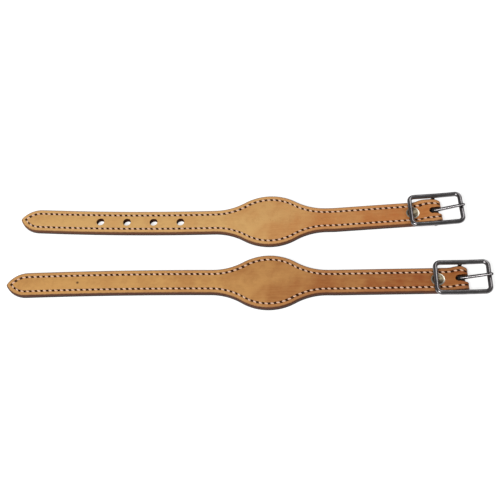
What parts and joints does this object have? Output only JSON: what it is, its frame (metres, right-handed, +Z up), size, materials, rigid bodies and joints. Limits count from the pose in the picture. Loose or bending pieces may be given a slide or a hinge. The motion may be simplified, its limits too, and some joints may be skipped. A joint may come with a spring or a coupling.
{
  "type": "spur strap pair",
  "caption": "Pair of stitched leather spur straps with shaped instep pads, pointed tails and gunmetal wire buckles; one strap is punched, the other is plain.",
  "frame": {"origin": "on the resting surface, under the middle of the bounding box of the pair as it lies", "axes": "+X along the straps towards the buckles, +Y from the plain strap to the punched strap, +Z up out of the grain side"},
  "size_m": [0.3108, 0.0834, 0.0113],
  "materials": {
    "top_leather": "tan vegetable-tanned grain leather, burnished edges",
    "lining": "tan leather lining",
    "thread": "waxed cream thread",
    "buckle_metal": "dark antique nickel plate, polished",
    "rivet_metal": "dull nickel plate"
  },
  "bodies": {
    "left_pad": {"left_top_leather_pad": "top_leather", "left_bottom_leather_pad": "lining", "left_top_thread_pad": "thread", "left_bottom_thread_pad": "thread"},
    "left_tail": {"left_top_leather_tail": "top_leather", "left_bottom_leather_tail": "lining", "left_top_thread_tail": "thread", "left_bottom_thread_tail": "thread"},
    "left_buckle_end": {"left_top_leather_buckle_end": "top_leather", "left_bottom_leather_buckle_end": "lining", "left_top_thread_buckle_end": "thread", "left_bottom_thread_buckle_end": "thread", "left_rivet_cap": "rivet_metal", "left_rivet_post": "rivet_metal"},
    "left_buckle": {"left_buckle_frame": "buckle_metal", "left_buckle_bar": "buckle_metal"},
    "left_tongue": {"left_buckle_tongue": "buckle_metal"},
    "right_pad": {"right_top_leather_pad": "top_leather", "right_bottom_leather_pad": "lining", "right_top_thread_pad": "thread", "right_bottom_thread_pad": "thread"},
    "right_tail": {"right_top_leather_tail": "top_leather", "right_bottom_leather_tail": "lining", "right_top_thread_tail": "thread", "right_bottom_thread_tail": "thread"},
    "right_buckle_end": {"right_top_leather_buckle_end": "top_leather", "right_bottom_leather_buckle_end": "lining", "right_top_thread_buckle_end": "thread", "right_bottom_thread_buckle_end": "thread", "right_rivet_cap": "rivet_metal", "right_rivet_post": "rivet_metal"},
    "right_buckle": {"right_buckle_frame": "buckle_metal", "right_buckle_bar": "buckle_metal"},
    "right_tongue": {"right_buckle_tongue": "buckle_metal"}
  },
  "joints": [
    {"name": "left_tail_bend", "type": "hinge", "parent": "left_pad", "child": "left_tail", "pos_m": [-0.02558, 0.02263, 0.002], "axis": [-0.0052, 1, 0], "range_deg": [-50, 50]},
    {"name": "left_buckle_end_bend", "type": "hinge", "parent": "left_pad", "child": "left_buckle_end", "pos_m": [0.05842, 0.02307, 0.002], "axis": [0.0052, -1, 0], "range_deg": [-50, 50]},
    {"name": "left_frame_swing", "type": "hinge", "parent": "left_buckle_end", "child": "left_buckle", "pos_m": [0.124, 0.02697, 0.00305], "axis": [-0.0593, 0.9982, 0], "range_deg": [0, 120]},
    {"name": "left_tongue_swing", "type": "hinge", "parent": "left_buckle", "child": "left_tongue", "pos_m": [0.124, 0.02697, 0.00305], "axis": [0.0593, -0.9982, 0], "range_deg": [0, 65]},
    {"name": "right_tail_bend", "type": "hinge", "parent": "right_pad", "child": "right_tail", "pos_m": [-0.02558, -0.02226, 0.002], "axis": [0.014, 0.9999, 0], "range_deg": [-50, 50]},
    {"name": "right_buckle_end_bend", "type": "hinge", "parent": "right_pad", "child": "right_buckle_end", "pos_m": [0.05841, -0.02344, 0.002], "axis": [-0.014, -0.9999, 0], "range_deg": [-50, 50]},
    {"name": "right_frame_swing", "type": "hinge", "parent": "right_buckle_end", "child": "right_buckle", "pos_m": [0.13641, -0.02303, 0.00305], "axis": [-0.0052, 1, 0], "range_deg": [0, 120]},
    {"name": "right_tongue_swing", "type": "hinge", "parent": "right_buckle", "child": "right_tongue", "pos_m": [0.13641, -0.02303, 0.00305], "axis": [0.0052, -1, 0], "range_deg": [0, 65]},
    {"name": "pair_part", "type": "slide", "parent": "left_pad", "child": "right_pad", "axis": [0, -1, 0], "range_m": [0, 0.08]}
  ]
}
